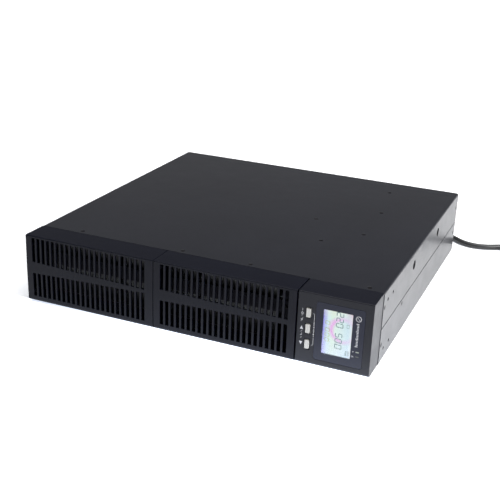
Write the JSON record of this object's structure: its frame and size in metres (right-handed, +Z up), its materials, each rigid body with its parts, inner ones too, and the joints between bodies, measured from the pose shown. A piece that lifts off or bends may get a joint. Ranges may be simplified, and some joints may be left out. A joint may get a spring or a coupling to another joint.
{
  "type": "uninterruptible power supply",
  "caption": "Low black rack or tower uninterruptible power supply with slotted bezels, a small display with push buttons, rear outlets and fans, and a mains cord.",
  "frame": {"origin": "middle of the footprint on the standing face", "axes": "+X to the right along the front, +Y from the bezel to the rear panel, +Z up"},
  "size_m": [0.6385, 0.508, 0.088],
  "materials": {
    "case_paint": "semi-gloss black powder coat",
    "bezel_plastic": "fine-textured black ABS",
    "lens_plastic": "smooth tinted acrylic",
    "display": "backlit liquid crystal",
    "button_white": "satin white",
    "light_pipe": "frosted clear",
    "board": "solder resist",
    "ribbon": "grey flat cable",
    "zinc_steel": "zinc plated",
    "screw_black": "black oxide",
    "battery_case": "moulded battery case",
    "lead_red": "soft insulation",
    "alloy": "extruded",
    "component_black": "epoxy",
    "capacitor_sleeve": "shrink sleeve",
    "powder_core": "coated powder core",
    "copper": "enamelled copper wire",
    "ferrite": "sintered ferrite",
    "winding_tape": "polyester tape",
    "relay_case": "moulded cover",
    "fan_plastic": "glass-filled black",
    "outlet_plastic": "black nylon",
    "terminal_green": "green nylon",
    "socket_grey": "grey polycarbonate",
    "cord_rubber": "matt black PVC sheath",
    "pin_brass": "nickelled brass"
  },
  "bodies": {
    "case": {"base_tray": "case_paint", "top_cover": "case_paint", "rear_panel": "case_paint", "front_bulkhead": "case_paint", "control_panel": "bezel_plastic", "display_lens": "lens_plastic", "display_module": "display", "light_pipes": "light_pipe", "control_board": "board", "ribbon_cable": "ribbon", "grille_clips": "bezel_plastic", "case_screws": "screw_black", "side_hole_plugs": "bezel_plastic", "battery_tray": "zinc_steel", "battery_left": "battery_case", "battery_middle": "battery_case", "battery_right": "battery_case", "battery_terminals": "zinc_steel", "battery_leads": "lead_red", "battery_strap": "case_paint", "bay_divider": "case_paint", "main_board": "board", "board_standoffs": "zinc_steel", "heatsink_left": "alloy", "heatsink_right": "alloy", "power_transistors": "component_black", "bus_capacitors": "capacitor_sleeve", "choke_core": "powder_core", "choke_winding": "copper", "transformer_core": "ferrite", "transformer_winding": "winding_tape", "relays": "relay_case", "charger_board": "board", "charger_standoffs": "zinc_steel", "fan_frame_left": "fan_plastic", "fan_frame_right": "fan_plastic", "fan_guard_left": "zinc_steel", "fan_guard_right": "zinc_steel", "fan_screws": "screw_black", "upper_outlets": "outlet_plastic", "lower_outlets": "outlet_plastic", "breaker_body": "outlet_plastic", "signal_port": "zinc_steel", "usb_port": "zinc_steel", "emergency_off_terminal": "terminal_green", "card_slot_cover": "case_paint", "battery_socket": "socket_grey", "cord_bushing": "cord_rubber", "power_cord": "cord_rubber", "cord_coil": "cord_rubber", "power_plug": "cord_rubber", "plug_pins": "pin_brass"},
    "left_grille": {"left_grille": "bezel_plastic"},
    "middle_grille": {"middle_grille": "bezel_plastic"},
    "power_key": {"power_button": "button_white"},
    "up_key": {"up_button": "button_white"},
    "down_key": {"down_button": "button_white"},
    "left_fan": {"fan_rotor_left": "fan_plastic"},
    "right_fan": {"fan_rotor_right": "fan_plastic"},
    "breaker_key": {"breaker_button": "outlet_plastic"}
  },
  "joints": [
    {"name": "left_grille_pull", "type": "slide", "parent": "case", "child": "left_grille", "axis": [0, -1, 0], "range_m": [0, 0.014]},
    {"name": "middle_grille_pull", "type": "slide", "parent": "case", "child": "middle_grille", "axis": [0, -1, 0], "range_m": [0, 0.014]},
    {"name": "power_press", "type": "slide", "parent": "case", "child": "power_key", "axis": [0, 1, 0], "range_m": [0, 0.0012], "stiffness_N_per_m": 900},
    {"name": "up_press", "type": "slide", "parent": "case", "child": "up_key", "axis": [0, 1, 0], "range_m": [0, 0.0012], "stiffness_N_per_m": 900},
    {"name": "down_press", "type": "slide", "parent": "case", "child": "down_key", "axis": [0, 1, 0], "range_m": [0, 0.0012], "stiffness_N_per_m": 900},
    {"name": "left_fan_spin", "type": "hinge", "parent": "case", "child": "left_fan", "pos_m": [-0.12, 0.2, 0.044], "axis": [0, 1, 0], "continuous": true},
    {"name": "right_fan_spin", "type": "hinge", "parent": "case", "child": "right_fan", "pos_m": [-0.033, 0.2, 0.044], "axis": [0, 1, 0], "continuous": true},
    {"name": "breaker_trip", "type": "slide", "parent": "case", "child": "breaker_key", "axis": [0, 1, 0], "range_m": [0, 0.004]}
  ]
}
